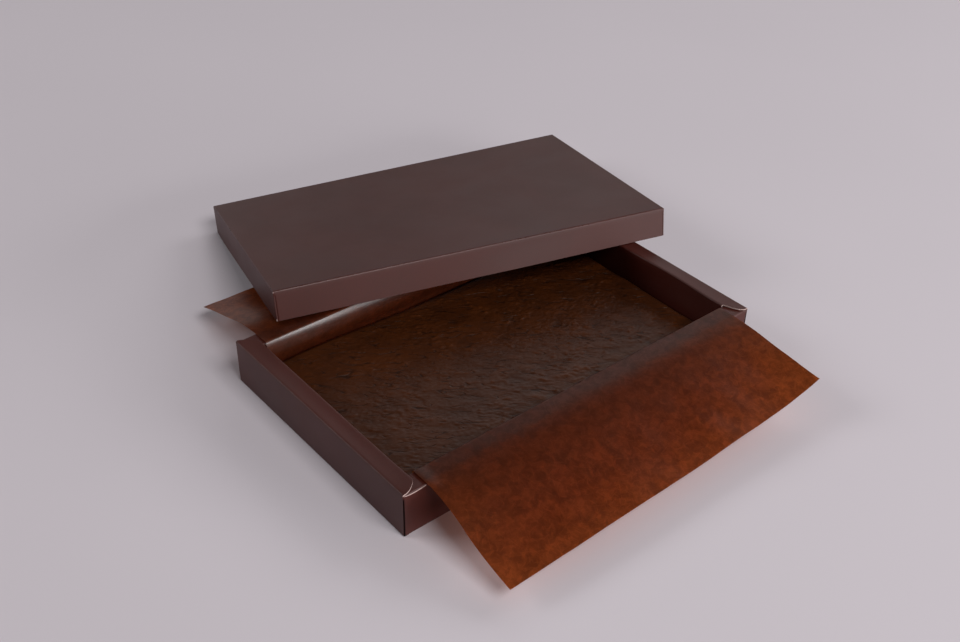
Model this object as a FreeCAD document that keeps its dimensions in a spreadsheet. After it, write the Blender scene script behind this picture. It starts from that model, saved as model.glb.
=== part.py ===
"""Praline box: a folded card tray with hollow walls, its lift-off lid leaning on the rim,
a liner sheet that hangs out over both long sides, and a cushion pad on the liner.

Millimetres and degrees. +Z is up, X runs along the long sides, and the origin is the middle
of the tray's underside. The front is the -Y side.
"""
import FreeCAD, Part
import math
import os

import Sketcher

Vector = FreeCAD.Vector

# Every size that can be set by itself: name, value, what it is.
SIZES = (
    ("tray_length", 240.0, "tray, outside, along X"),
    ("tray_width", 150.0, "tray, outside, along Y"),
    ("tray_height", 27.0, "tray, to the top of the short sides' rim"),
    ("board", 0.7, "thickness of the card"),
    ("rim_width", 10.5, "width of the hollow wall, outer face to inner face"),
    ("fold_radius", 0.5, "outer radius of a fold in the card"),
    ("lap_reach", 2.0, "how far a short rim panel's end passes the inner corner"),
    ("lap_bulge", 1.2, "rise of the curved end of a short rim panel over its chord"),
    ("tab_length", 16.0, "glue tab in each corner of the tray"),
    ("tab_taper", 2.0, "how much each side of a glue tab draws in towards its end"),
    ("tab_margin", 1.0, "card left free above and below a glue tab"),
    ("seam_depth", 0.35, "depth of the groove where a corner's raw edge meets the fold"),
    ("lid_height", 18.0, "lid, outside"),
    ("lid_clearance", 0.5, "gap between the lid's wall and the tray's wall when it is closed"),
    ("lid_tab_length", 14.0, "glue tab in each corner of the lid"),
    ("lid_yaw", -16.0, "turn of the lid about Z as it leans on the tray"),
    ("lid_corner_along", 25.5, "lid's front left foot corner, from the tray's left side"),
    ("lid_corner_overlap", 0.8, "how far that corner stands over the rear rim"),
    ("seat_gap", 0.05, "clearance between pieces that rest on each other"),
    ("liner_thickness", 0.2, "thickness of the liner sheet"),
    ("liner_end_gap", 1.5, "liner's side edge to the short inner wall"),
    ("liner_wall_gap", 0.4, "liner to the long inner wall"),
    ("liner_rim_gap", 0.3, "liner over the long sides' rim"),
    ("liner_fold", 1.0, "radius of the liner's folds at the floor and over the inner edge"),
    ("wing_fold", 8.0, "radius of the soft bend where a wing leaves the rim"),
    ("wing_root", 15.0, "straight part of a wing, after the soft bend"),
    ("wing_reach", 46.0, "curved part of a wing, on to its free edge"),
    ("front_droop_left", 18.5, "slope of the front wing's root at its left edge"),
    ("front_droop_right", 6.5, "slope of the front wing's root at its right edge"),
    ("front_rise_left", 9.5, "how much of that slope the left edge has lost at its tip"),
    ("front_rise_right", 4.0, "how much of that slope the right edge has lost at its tip"),
    ("rear_droop", 16.5, "slope of the rear wing's root"),
    ("rear_rise", 1.0, "how much of that slope the rear wing has lost at its tip"),
    ("pad_thickness", 8.0, "cushion pad"),
    ("pad_end_gap", 2.0, "pad to the short inner wall"),
    ("pad_side_gap", 0.9, "pad to the liner on the long inner wall"),
    ("pad_round", 2.0, "rounding of the pad's upper edges and corners"),
)

document = FreeCAD.newDocument("praline_box")
sheet = document.addObject("Spreadsheet::Sheet", "sizes")
for row, (alias, value, meaning) in enumerate(SIZES, 1):
    sheet.set(f"A{row}", alias)
    sheet.set(f"B{row}", str(value))
    sheet.set(f"C{row}", meaning)
    sheet.setAlias(f"B{row}", alias)
document.recompute()

# What follows from them, written for setExpression.
LENGTH = "sizes.tray_length"
WIDTH = "sizes.tray_width"
HEIGHT = "sizes.tray_height"
BOARD = "sizes.board"
RIM = "sizes.rim_width"
LONG_RIM_TOP = f"{HEIGHT} - {BOARD}"
FOLD = f"min(sizes.fold_radius; 0.8 * {BOARD})"
LID_GROWTH = f"2 * (sizes.lid_clearance + {BOARD})"
LID_LENGTH = f"({LENGTH} + {LID_GROWTH})"
LID_WIDTH = f"({WIDTH} + {LID_GROWTH})"
LINER_REST = f"{BOARD} + 2 * sizes.seat_gap + sizes.liner_thickness"


def size(alias):
    """The number that a cell of the sheet holds."""
    return float(getattr(sheet, alias))


# ---------------------------------------------------------------- sketches and features


def new_body(label):
    body = document.addObject("PartDesign::Body", label)
    body.Label = label
    return body


def new_sketch(body, label, role, offset="0"):
    """A sketch on one of the body's own origin planes, moved along the plane's normal."""
    sketch = body.newObject("Sketcher::SketchObject", label)
    plane = next(p for p in body.Origin.OriginFeatures if p.Role == role)
    sketch.AttachmentSupport = [(plane, "")]
    sketch.MapMode = "FlatFace"
    sketch.setExpression("AttachmentOffset.Base.z", offset)
    return sketch


def bind(sketch, constraint, expression):
    """Add a constraint whose value follows an expression."""
    sketch.setExpression(f"Constraints[{sketch.addConstraint(constraint)}]", expression)


def place_point(sketch, edge, end, x, y):
    """Hold one end of an edge at (x, y), both expressions, from the sketch's origin."""
    point = sketch.getPoint(edge, end)
    bind(sketch, Sketcher.Constraint("DistanceX", -1, 1, edge, end, point.x), x)
    bind(sketch, Sketcher.Constraint("DistanceY", -1, 1, edge, end, point.y), y)


def add_polygon(sketch, corners):
    """A closed polygon through corners, each a pair of expressions."""
    count = len(corners)
    angles = [2 * math.pi * k / count for k in range(count)]
    rough = [Vector(math.cos(a), math.sin(a), 0) for a in angles]
    first = sketch.GeometryCount
    for k in range(count):
        sketch.addGeometry(Part.LineSegment(rough[k], rough[(k + 1) % count]), False)
    for k in range(count):
        after = first + (k + 1) % count
        sketch.addConstraint(Sketcher.Constraint("Coincident", first + k, 2, after, 1))
    for k, (x, y) in enumerate(corners):
        place_point(sketch, first + k, 1, x, y)


def add_rectangle(sketch, x_low, x_high, y_low, y_high):
    corners = ((x_low, y_low), (x_high, y_low), (x_high, y_high), (x_low, y_high))
    add_polygon(sketch, corners)


def add_centred_rectangle(sketch, length, width):
    add_rectangle(sketch, f"-({length}) / 2", f"({length}) / 2", f"-({width}) / 2", f"({width}) / 2")


def pad(body, label, sketch, length):
    feature = body.newObject("PartDesign::Pad", label)
    feature.Profile = sketch
    feature.setExpression("Length", length)
    document.recompute()
    return feature


def pocket_upwards(body, label, sketch, depth):
    """Cut upwards from a sketch that faces up, and see that something was cut."""
    before = body.Shape.Volume
    feature = body.newObject("PartDesign::Pocket", label)
    feature.Profile = sketch
    feature.Reversed = True
    feature.setExpression("Length", depth)
    document.recompute()
    if not feature.Shape.Volume < before:
        raise RuntimeError(f"{label} cuts nothing")
    return feature


def fillet(body, label, base, radius, wanted):
    """Round the straight edges of base for which wanted(bounding box) is true."""
    boxes = [(n, edge.BoundBox) for n, edge in enumerate(base.Shape.Edges, 1)]
    names = [f"Edge{n}" for n, box in boxes if wanted(box)]
    if not names:
        raise RuntimeError(f"{label} finds no edge")
    feature = body.newObject("PartDesign::Fillet", label)
    feature.Base = (base, names)
    feature.setExpression("Radius", radius)
    document.recompute()
    return feature


def lies_at(low, high, place):
    """Whether a box is flat along one axis and stands at place, on either side of zero."""
    return high - low < 1e-4 and abs(abs(low) - place) < 1e-4


def along_x(y_place, z_place):
    """Edges that run along X at |y| = y_place and z = z_place."""
    return lambda box: (
        box.XLength > 1 and lies_at(box.YMin, box.YMax, y_place) and lies_at(box.ZMin, box.ZMax, z_place)
    )


def along_y(x_place, z_place):
    """Edges that run along Y at |x| = x_place and z = z_place."""
    return lambda box: (
        box.YLength > 1 and lies_at(box.XMin, box.XMax, x_place) and lies_at(box.ZMin, box.ZMax, z_place)
    )


def any_of(*tests):
    return lambda box: any(test(box) for test in tests)


def add_corner_tabs(body, label, length, width, bottom, top, tab_length):
    """Glue tabs: the ends of the long walls, folded in flat behind the short walls.

    length and width are expressions for the outside of the walls, bottom and top for the
    space between the floor or the wall's free edge and the panel above.
    """
    low = f"{bottom} + sizes.tab_margin"
    high = f"{top} - sizes.tab_margin"
    root = f"(({width}) / 2 - {BOARD})"
    tip = f"({root} - {tab_length})"
    for side, offset in (("right", f"({length}) / 2 - 2 * {BOARD}"), ("left", f"-({length}) / 2 + {BOARD}")):
        sketch = new_sketch(body, f"{label}_{side}_tab_outline", "YZ_Plane", offset)
        for sign in ("", "-"):
            corners = [
                (f"{sign}{root}", low),
                (f"{sign}{tip}", f"{low} + sizes.tab_taper"),
                (f"{sign}{tip}", f"{high} - sizes.tab_taper"),
                (f"{sign}{root}", high),
            ]
            add_polygon(sketch, corners)
        pad(body, f"{label}_{side}_tabs", sketch, BOARD)


def cut_corner_seams(body, label, length, width, height):
    """A V groove up each corner, where the short wall's raw edge meets the long wall's fold."""
    sketch = new_sketch(body, f"{label}_seam_outline", "XY_Plane")
    for x_sign in (1, -1):
        for y_sign in (1, -1):
            middle = f"{x_sign} * (({length}) / 2 - {BOARD})"
            face = f"{y_sign} * ({width}) / 2"
            corners = [
                (f"{middle} - sizes.seam_depth", face),
                (f"{middle} + sizes.seam_depth", face),
                (middle, f"{face} - {y_sign} * sizes.seam_depth"),
            ]
            add_polygon(sketch, corners)
    return pocket_upwards(body, f"{label}_seams", sketch, height)


# ---------------------------------------------------------------- tray


def add_short_rim_outline(sketch, sign):
    """Rim panel of one short side: straight edges along Y, and both ends cut to a curve
    that starts at the tray's corner, bulges outwards and passes the inner corner."""
    outer_x, outer_y = size("tray_length") / 2, size("tray_width") / 2
    inner_x = outer_x - size("rim_width")
    inner_y = outer_y - size("rim_width") + size("lap_reach")
    chord_x, chord_y = outer_x - inner_x, outer_y - inner_y
    chord = math.hypot(chord_x, chord_y)
    bulge = size("lap_bulge")
    middle_x = (outer_x + inner_x) / 2 - bulge * chord_y / chord
    middle_y = (outer_y + inner_y) / 2 + bulge * chord_x / chord
    outer = [Vector(sign * outer_x, y, 0) for y in (-outer_y, outer_y)]
    inner = [Vector(sign * inner_x, y, 0) for y in (-inner_y, inner_y)]
    first = sketch.GeometryCount
    sketch.addGeometry(Part.LineSegment(outer[0], outer[1]), False)
    sketch.addGeometry(Part.LineSegment(inner[0], inner[1]), False)
    outer_x_cell = f"{sign} * {LENGTH} / 2"
    inner_x_cell = f"{sign} * ({LENGTH} / 2 - {RIM})"
    outer_y_cell = f"{WIDTH} / 2"
    inner_y_cell = f"({WIDTH} / 2 - {RIM} + sizes.lap_reach)"
    place_point(sketch, first, 1, outer_x_cell, f"-{outer_y_cell}")
    place_point(sketch, first, 2, outer_x_cell, outer_y_cell)
    place_point(sketch, first + 1, 1, inner_x_cell, f"-{inner_y_cell}")
    place_point(sketch, first + 1, 2, inner_x_cell, inner_y_cell)
    chord_cell = f"({RIM}^2 + ({RIM} - sizes.lap_reach)^2)"
    radius_cell = f"{chord_cell} / (8 * sizes.lap_bulge) + sizes.lap_bulge / 2"
    for end, y_sign in ((1, -1), (2, 1)):
        middle = Vector(sign * middle_x, y_sign * middle_y, 0)
        arc = Part.Arc(outer[end - 1], middle, inner[end - 1])
        curve = sketch.addGeometry(arc, False)
        drawn_start = sketch.getPoint(curve, 1)
        from_outer = drawn_start.distanceToPoint(outer[end - 1]) < 1e-6
        outer_end, inner_end = (1, 2) if from_outer else (2, 1)
        sketch.addConstraint(Sketcher.Constraint("Coincident", curve, outer_end, first, end))
        sketch.addConstraint(Sketcher.Constraint("Coincident", curve, inner_end, first + 1, end))
        radius = sketch.Geometry[curve].Radius
        bind(sketch, Sketcher.Constraint("Radius", curve, radius), radius_cell)


def make_tray():
    """One folded blank: floor, outer walls, rim panels and inner walls round a hollow.

    The long sides are one card lower than the short ones, whose rim panels lap over them.
    """
    body = new_body("tray")
    half_length, half_width = size("tray_length") / 2, size("tray_width") / 2
    inner_x, inner_y = half_length - size("rim_width"), half_width - size("rim_width")
    long_top = size("tray_height") - size("board")

    outline = new_sketch(body, "tray_outline", "XY_Plane")
    add_centred_rectangle(outline, LENGTH, WIDTH)
    block = pad(body, "outer_walls", outline, LONG_RIM_TOP)
    long_folds = any_of(
        along_x(half_width, 0), along_y(half_length, 0), along_x(half_width, long_top)
    )
    fillet(body, "outer_folds", block, FOLD, long_folds)

    mouth = new_sketch(body, "mouth_outline", "XY_Plane", BOARD)
    add_centred_rectangle(mouth, f"{LENGTH} - 2 * {RIM}", f"{WIDTH} - 2 * {RIM}")
    opened = pocket_upwards(body, "inside", mouth, HEIGHT)
    fillet(body, "long_rim_folds", opened, FOLD, along_x(inner_y, long_top))

    ring = new_sketch(body, "hollow_outline", "XY_Plane", BOARD)
    add_centred_rectangle(ring, f"{LENGTH} - 2 * {BOARD}", f"{WIDTH} - 2 * {BOARD}")
    wall_back = f"2 * {RIM} + 2 * {BOARD}"
    add_centred_rectangle(ring, f"{LENGTH} - {wall_back}", f"{WIDTH} - {wall_back}")
    pocket_upwards(body, "hollow_walls", ring, f"{HEIGHT} - 3 * {BOARD}")

    ends = new_sketch(body, "short_hollow_outline", "XY_Plane", BOARD)
    for low, high in (
        (f"{LENGTH} / 2 - {RIM} + {BOARD}", f"{LENGTH} / 2 - {BOARD}"),
        (f"-{LENGTH} / 2 + {BOARD}", f"-{LENGTH} / 2 + {RIM} - {BOARD}"),
    ):
        add_rectangle(ends, low, high, f"-{WIDTH} / 2 + {RIM}", f"{WIDTH} / 2 - {RIM}")
    pocket_upwards(body, "short_hollow_walls", ends, HEIGHT)

    under_rim = f"{HEIGHT} - 2 * {BOARD}"
    add_corner_tabs(body, "tray", LENGTH, WIDTH, BOARD, under_rim, "sizes.tab_length")

    rims = new_sketch(body, "short_rim_outline", "XY_Plane", LONG_RIM_TOP)
    for sign in (1, -1):
        add_short_rim_outline(rims, sign)
    lapped = pad(body, "short_rims", rims, BOARD)
    top = size("tray_height")
    short_folds = any_of(along_y(half_length, top), along_y(inner_x, top))
    fillet(body, "short_rim_folds", lapped, FOLD, short_folds)
    cut_corner_seams(body, "tray", LENGTH, WIDTH, HEIGHT)
    return body


# ---------------------------------------------------------------- lid


def make_lid():
    """One folded blank: a panel and four walls, with glue tabs behind the short walls.

    It leans with its back foot on the ground and its front foot on the tray's rim.
    """
    body = new_body("lid")
    half_length = size("tray_length") / 2 + size("lid_clearance") + size("board")
    half_width = size("tray_width") / 2 + size("lid_clearance") + size("board")
    top = size("lid_height")

    outline = new_sketch(body, "lid_outline", "XY_Plane")
    add_centred_rectangle(outline, LID_LENGTH, LID_WIDTH)
    block = pad(body, "lid_block", outline, "sizes.lid_height")
    top_folds = any_of(along_x(half_width, top), along_y(half_length, top))
    fillet(body, "lid_folds", block, FOLD, top_folds)
    hollow = new_sketch(body, "lid_hollow_outline", "XY_Plane")
    add_centred_rectangle(hollow, f"{LID_LENGTH} - 2 * {BOARD}", f"{LID_WIDTH} - 2 * {BOARD}")
    pocket_upwards(body, "lid_inside", hollow, f"sizes.lid_height - {BOARD}")
    under_panel = f"sizes.lid_height - {BOARD}"
    add_corner_tabs(body, "lid", LID_LENGTH, LID_WIDTH, "0", under_panel, "sizes.lid_tab_length")
    cut_corner_seams(body, "lid", LID_LENGTH, LID_WIDTH, "sizes.lid_height")

    tilt = f"asin(({HEIGHT} + sizes.seat_gap) / ({LID_WIDTH} - {BOARD}))"
    corner_x = f"(-{LENGTH} / 2 + sizes.lid_corner_along)"
    corner_y = f"({WIDTH} / 2 - sizes.lid_corner_overlap)"
    turn = f"rotationz(sizes.lid_yaw) * rotationx(-{tilt})"
    to_corner = f"vector(-{LID_LENGTH} / 2; -{LID_WIDTH} / 2; 0)"
    lift = f"{LID_WIDTH} / 2 * sin({tilt})"
    corner = f"vector({corner_x}; {corner_y}; 2 * {lift})"
    body.setExpression("Placement", f"placement({corner} - ({turn}) * {to_corner}; {turn})")
    document.recompute()
    return body


# ---------------------------------------------------------------- liner and pad


def walk(start, steps, side, offset):
    """Edges of a path in the (y, z) plane, shifted by offset to its left.

    start is (x, y, z) and the path sets out along +Y. Each step is a length to go straight,
    or (radius, turn) for an arc, with a positive turn upwards. side is 1 towards the rear
    and -1 for the mirrored path towards the front.
    """
    x, along, height = start
    heading = 0.0
    edges = []

    def shifted(y, z, angle):
        y_moved, z_moved = y - offset * math.sin(angle), z + offset * math.cos(angle)
        return Vector(x, side * y_moved, z_moved)

    for step in steps:
        before = shifted(along, height, heading)
        if isinstance(step, tuple):
            radius, turn = step
            hand = math.copysign(1, turn)
            centre_y = along - hand * radius * math.sin(heading)
            centre_z = height + hand * radius * math.cos(heading)
            points = []
            for part in (0.5, 1.0):
                angle = heading + math.radians(turn) * part
                y = centre_y + hand * radius * math.sin(angle)
                z = centre_z - hand * radius * math.cos(angle)
                points.append((y, z, angle))
            middle, last = (shifted(*point) for point in points)
            edges.append(Part.Arc(before, middle, last).toShape())
            along, height, heading = points[-1]
        else:
            along += step * math.cos(heading)
            height += step * math.sin(heading)
            edges.append(Part.LineSegment(before, shifted(along, height, heading)).toShape())
    return edges


def liner_steps(droop, rise):
    """Half of the liner's section, from the middle of the floor to a wing's free edge."""
    half = size("liner_thickness") / 2
    fold, soft = size("liner_fold"), size("wing_fold")
    wall = size("tray_width") / 2 - size("rim_width") - size("liner_wall_gap") - half
    floor = size("board") + size("seat_gap") + half
    rim_top = size("tray_height") - size("board") + size("liner_rim_gap") + half
    return [
        wall - fold,
        (fold, 90.0),
        rim_top - floor - 2 * fold,
        (fold, -90.0),
        size("tray_width") / 2 - wall - fold,
        (soft, -droop),
        size("wing_root"),
        (size("wing_reach") / math.radians(rise), rise),
    ]


def liner_section(x, front, rear):
    """Closed outline of the liner where it crosses the plane at x, from its two halves."""
    half = size("liner_thickness") / 2
    start = (x, 0.0, size("board") + size("seat_gap") + half)
    upper_rear, lower_rear = walk(start, rear, 1, half), walk(start, rear, 1, -half)
    upper_front, lower_front = walk(start, front, -1, half), walk(start, front, -1, -half)

    def closing(upper, lower):
        ends = [edge.Vertexes[-1].Point for edge in (upper[-1], lower[-1])]
        return Part.LineSegment(*ends).toShape()

    loop = [*upper_rear, closing(upper_rear, lower_rear), *reversed(lower_rear)]
    loop += [*lower_front, closing(upper_front, lower_front), *reversed(upper_front)]
    return Part.Wire(loop)


def make_liner():
    """One sheet, ruled between its sections at both side edges: flat under the pad, up the
    long inner walls, over the rims and out as two wings. The front wing is warped."""
    edge = size("tray_length") / 2 - size("rim_width") - size("liner_end_gap")
    rear = liner_steps(size("rear_droop"), size("rear_rise"))
    front_left = liner_steps(size("front_droop_left"), size("front_rise_left"))
    front_right = liner_steps(size("front_droop_right"), size("front_rise_right"))
    left, right = liner_section(-edge, front_left, rear), liner_section(edge, front_right, rear)
    solid = Part.makeLoft([left, right], True, True)
    if solid.Volume < 0:
        solid.reverse()
    feature = document.addObject("Part::Feature", "liner")
    feature.Label = "liner"
    feature.Shape = solid
    feature.Placement = FreeCAD.Placement()
    return feature


def liner_flat_length():
    """Length of the liner's section along its rear half, twice."""
    half = 0.0
    for step in liner_steps(size("rear_droop"), size("rear_rise")):
        half += step[0] * abs(math.radians(step[1])) if isinstance(step, tuple) else step
    return 2 * half


def make_pad():
    """A cushion of creped paper that fills the floor of the tray and lies on the liner."""
    body = new_body("pad")
    outline = new_sketch(body, "pad_outline", "XY_Plane")
    pad_length = f"{LENGTH} - 2 * {RIM} - 2 * sizes.pad_end_gap"
    liner_room = "2 * (sizes.liner_wall_gap + sizes.liner_thickness + sizes.pad_side_gap)"
    add_centred_rectangle(outline, pad_length, f"{WIDTH} - 2 * {RIM} - {liner_room}")
    block = pad(body, "pad_block", outline, "sizes.pad_thickness")
    top = size("pad_thickness")
    fillet(
        body,
        "pad_edges",
        block,
        "min(sizes.pad_round; 0.4 * sizes.pad_thickness)",
        lambda box: box.ZMax > top - 1e-4,
    )
    body.setExpression("Placement.Base.z", LINER_REST)
    document.recompute()
    return body


# ---------------------------------------------------------------- build, check and export


def check(parts):
    for item in document.Objects:
        if {"Invalid", "Error"} & set(item.State):
            raise RuntimeError(f"{item.Name} failed: {item.State}")
    for part in parts:
        if part.Shape.isNull() or not part.Shape.isValid():
            raise RuntimeError(f"{part.Label} has no valid shape")


def main():
    parts = [make_tray(), make_liner(), make_pad(), make_lid()]
    document.recompute()
    check(parts)
    os.makedirs("parts", exist_ok=True)
    for part in parts:
        part.Shape.exportStep(f"parts/{part.Label}.step")
        box = part.Shape.BoundBox
        print(
            f"{part.Label}: {len(part.Shape.Solids)} solid, {part.Shape.Volume:.0f} mm3, "
            f"x {box.XMin:.1f}..{box.XMax:.1f} y {box.YMin:.1f}..{box.YMax:.1f} "
            f"z {box.ZMin:.1f}..{box.ZMax:.1f}"
        )
    print(f"liner cut flat: {liner_flat_length():.1f} mm long")


main()
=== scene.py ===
"""Praline box: looks of the folded card tray and lid, the glassine liner and the cushion pad.

Laid out as an add-on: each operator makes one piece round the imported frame, and the panel lists
them. All pieces are in metres, in the frame of the tray's underside: +Z up, X along the tray's
long sides, the front towards -Y.
"""

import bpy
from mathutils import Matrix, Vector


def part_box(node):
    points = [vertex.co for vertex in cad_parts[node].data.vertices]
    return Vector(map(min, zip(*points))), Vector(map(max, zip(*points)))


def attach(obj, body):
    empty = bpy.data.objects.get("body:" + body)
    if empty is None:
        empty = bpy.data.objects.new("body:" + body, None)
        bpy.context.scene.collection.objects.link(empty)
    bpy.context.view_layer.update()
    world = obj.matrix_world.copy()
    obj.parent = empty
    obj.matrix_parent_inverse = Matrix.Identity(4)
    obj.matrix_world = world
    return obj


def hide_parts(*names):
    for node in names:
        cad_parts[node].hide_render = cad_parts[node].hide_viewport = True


bl_info = {
    "name": "Praline Box",
    "version": (1, 0, 0),
    "blender": (4, 5, 0),
    "location": "View3D > Sidebar > Praline Box",
    "description": "Card tray, leaning lid, glassine liner and creped cushion pad",
    "category": "Object",
}

import math

import bpy
import numpy as np
from mathutils import Matrix

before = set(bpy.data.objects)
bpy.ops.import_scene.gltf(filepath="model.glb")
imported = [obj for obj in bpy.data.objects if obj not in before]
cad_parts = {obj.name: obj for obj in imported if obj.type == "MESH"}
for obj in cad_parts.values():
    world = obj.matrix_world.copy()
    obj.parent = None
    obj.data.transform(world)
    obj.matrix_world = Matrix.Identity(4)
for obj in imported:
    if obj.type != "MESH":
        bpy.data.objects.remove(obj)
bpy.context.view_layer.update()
MM = 0.001


# ------------------------ sizes and colours


def length(name, description, millimetres):
    return bpy.props.FloatProperty(
        name=name, description=description, default=millimetres * MM, unit="LENGTH"
    )


def angle(name, description, degrees):
    return bpy.props.FloatProperty(
        name=name, description=description, default=math.radians(degrees), unit="ROTATION"
    )


def number(name, description, default):
    return bpy.props.FloatProperty(name=name, description=description, default=default)


def colour(name, description, default):
    return bpy.props.FloatVectorProperty(
        name=name, description=description, default=default, size=3, subtype="COLOR", min=0.0, max=1.0
    )


class CardSizes(bpy.types.PropertyGroup):
    board: length("Board", "Thickness of the card", 0.7)
    fold: length("Fold", "Outer radius of a fold in the card", 0.9)
    rim_width: length("Rim width", "Width of the tray's hollow walls", 10.5)
    lap_drop: length("Lap drop", "How far a short rim panel's end draws back inwards", 8.0)
    cut_length: length("Cut", "Cut edge along the front fold next to a corner", 13.0)
    cut_dip: length("Cut dip", "How far that cut edge dips under the fold", 0.7)
    bulge: length("Bulge", "How far a wall of the tray swells in its middle", 0.45)
    bow: length("Bow", "How far the right side's inner fold is pushed outwards", 1.6)
    slight_bow: length("Slight bow", "The same on the left side", 0.24)
    card: colour("Card", "Printed face of the card", (0.048, 0.0042, 0.0008))
    core: colour("Core", "Cut edge of the card", (0.50, 0.36, 0.33))


class LidSizes(bpy.types.PropertyGroup):
    height: length("Height", "Height of the lid", 18.0)
    clearance: length("Clearance", "Lid wall to tray wall when the box is closed", 0.5)
    tab_length: length("Tab", "Glue tab in each corner of the lid", 14.0)
    yaw: angle("Turn", "Turn of the lid as it leans on the tray", -16.0)
    corner_along: length("Corner along", "Front left foot, from the tray's left side", 25.5)
    corner_overlap: length("Corner overlap", "How far it stands over the rear rim", 0.8)
    seat_gap: length("Seat gap", "Clearance where the lid rests", 0.05)
    warp_back: length("Warp back", "How far the back right corner has risen", 5.0)
    warp_front: length("Warp front", "How far the front left corner has risen", 1.6)
    crown: length("Crown", "Swell of the top panel in its middle", 0.5)
    flare: length("Flare", "How far a wall's foot stands out in its middle", 0.5)


class LinerSizes(bpy.types.PropertyGroup):
    thickness: length("Thickness", "Thickness of the glassine", 0.06)
    end_gap: length("End gap", "Side edge to the short inner wall", 1.5)
    wall_gap: length("Wall gap", "Sheet to the long inner wall", 0.4)
    rim_gap: length("Rim gap", "Sheet over the long sides' rim", 0.35)
    fold: length("Fold", "Radius of the folds at the floor and over the inner edge", 1.0)
    bulge: length("Bulge", "How far the rear fold stands off the inner wall", 3.0)
    lean_radius: length("Lean radius", "Radius of the slow bend under the fold", 22.0)
    lean_front: angle("Lean front", "Turn of the slow bend on the front side", 6.0)
    lean_rear: angle("Lean rear", "Turn of the slow bend where the rear fold is puffed", 29.0)
    soft_start: length("Soft start", "How far before the tray's face a wing's bend starts", 3.5)
    soft_middle: length("Soft middle", "How far outside it the bend's two lines meet", 9.5)
    edge_lift: length("Edge lift", "How far the front left edge has risen off the rim", 0.6)
    fold_lift: length("Fold lift", "How far the rear fold has risen off the rim", 0.9)
    root: length("Root", "Straight part of a wing", 2.0)
    reach: length("Reach", "Curved part of a wing, to its free edge", 38.5)
    slant: length("Slant", "How much longer the front wing is at its left edge", 4.0)
    front_droop_left: angle("Front droop left", "Slope of the front wing at its left edge", 19.8)
    front_droop_right: angle("Front droop right", "Slope of the front wing at its right edge", 8.0)
    front_rise_left: angle("Front rise left", "Slope lost at the tip of the left edge", 7.5)
    front_rise_right: angle("Front rise right", "Slope lost at the tip of the right edge", 4.0)
    rear_droop: angle("Rear droop", "Slope of the rear wing", 18.6)
    rear_rise: angle("Rear rise", "Slope lost at the tip of the rear wing", 1.0)
    face: colour("Face", "Glassine in the light from above", (0.152, 0.034, 0.0125))
    glow: colour("Glow", "Light that comes through the glassine", (0.61, 0.30, 0.125))


class PadSizes(bpy.types.PropertyGroup):
    spacing: length("Spacing", "Spacing of the points that carry the creping", 0.65)
    crown: length("Crown", "Swell of the pad in its middle", 0.5)
    depth: length("Depth", "Depth of the main wrinkles", 0.11)
    lower: length("Lower", "Upper face's edges, under the top of the solid", 0.3)
    edge_drop: length("Edge drop", "How far the edges round down", 0.9)
    puff: length("Puff", "How far the rear edge has puffed up near the left", 3.2)
    puff_place: length("Puff place", "Middle of that puff along X", -82.0)
    puff_spread: length("Puff spread", "Distance over which it fades", 46.0)
    run: angle("Run", "Direction of the wrinkles, from the long side", -38.0)
    paper: colour("Paper", "Creped paper", (0.050, 0.0112, 0.0010))


class StudioSettings(bpy.types.PropertyGroup):
    azimuth: angle("Azimuth", "Camera, turned from the front", -40.044)
    elevation: angle("Elevation", "Camera, above the horizon", 35.976)
    roll: angle("Roll", "Camera, turned about its own axis", 1.057)
    place: bpy.props.FloatVectorProperty(
        name="Place",
        description="Camera's place",
        default=(-0.35216, -0.40380, 0.41771),
        subtype="TRANSLATION",
    )
    lens: number("Lens", "Focal length in millimetres", 45.458)
    floor: colour("Floor", "Pale floor", (0.702, 0.641, 0.685))
    distance: length("Distance", "Softboxes, from the middle of the tray", 2400.0)
    floor_share: number("Floor share", "Radius of the floor, as a share of that distance", 0.75)
    gain: number("Gain", "Factor on the radiance of every softbox", 1.0)
    world: number("World", "Strength of the light from all round", 0.03)
    backdrop: number("Backdrop", "Strength of what the camera sees beyond the floor", 0.8)


# ------------------------ meshes from arrays


def ease(value, low=0.0, high=1.0):
    """Rises smoothly from 0 at low to 1 at high: 3t^2 - 2t^3 of the clipped share t."""
    share = np.clip((value - low) / (high - low), 0, 1)
    return share * share * (3 - 2 * share)


def half_sine(share):
    return np.sin(math.pi * share)


def stations(total, fine, middle):
    """Shares of a length from 0 to 1: one at each end, the fine distances in from both ends,
    and middle + 1 evenly spread between."""
    inner = np.linspace(fine[-1], total - fine[-1], middle + 1)
    near = np.array(fine[:-1])
    return np.concatenate([[0.0], near, inner, total - near[::-1], [total]]) / total


def rolling(u, v, wave, seed, count=14):
    """Gentle uneven swell: the sum of count plane waves of random direction and phase and of a
    length near wave, over the root of count."""
    rng = np.random.default_rng(seed)
    turn, phase = rng.uniform(0, 2 * math.pi, (2, count))
    pace = 2 * math.pi / (wave * rng.uniform(0.7, 1.5, count))
    travel = u[..., None] * np.cos(turn) + v[..., None] * np.sin(turn)
    return np.sin(pace * travel + phase).sum(-1) / math.sqrt(count)


def grained(shape, spacing, along, across, run, seed):
    """Random field of unit spread on an even grid: white noise times a Gaussian in frequency, so
    that it is smooth over the length along in direction run and over across beside it."""
    rng = np.random.default_rng(seed)
    fx = np.fft.fftfreq(shape[0], spacing)[:, None]
    fy = np.fft.rfftfreq(shape[1], spacing)[None, :]
    ahead = fx * math.cos(run) + fy * math.sin(run)
    aside = fy * math.cos(run) - fx * math.sin(run)
    keep = np.exp(-2 * ((ahead * along) ** 2 + (aside * across) ** 2))
    field = np.fft.irfft2(np.fft.rfft2(rng.standard_normal(shape)) * keep, s=shape)
    return (field - field.mean()) / field.std()


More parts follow.
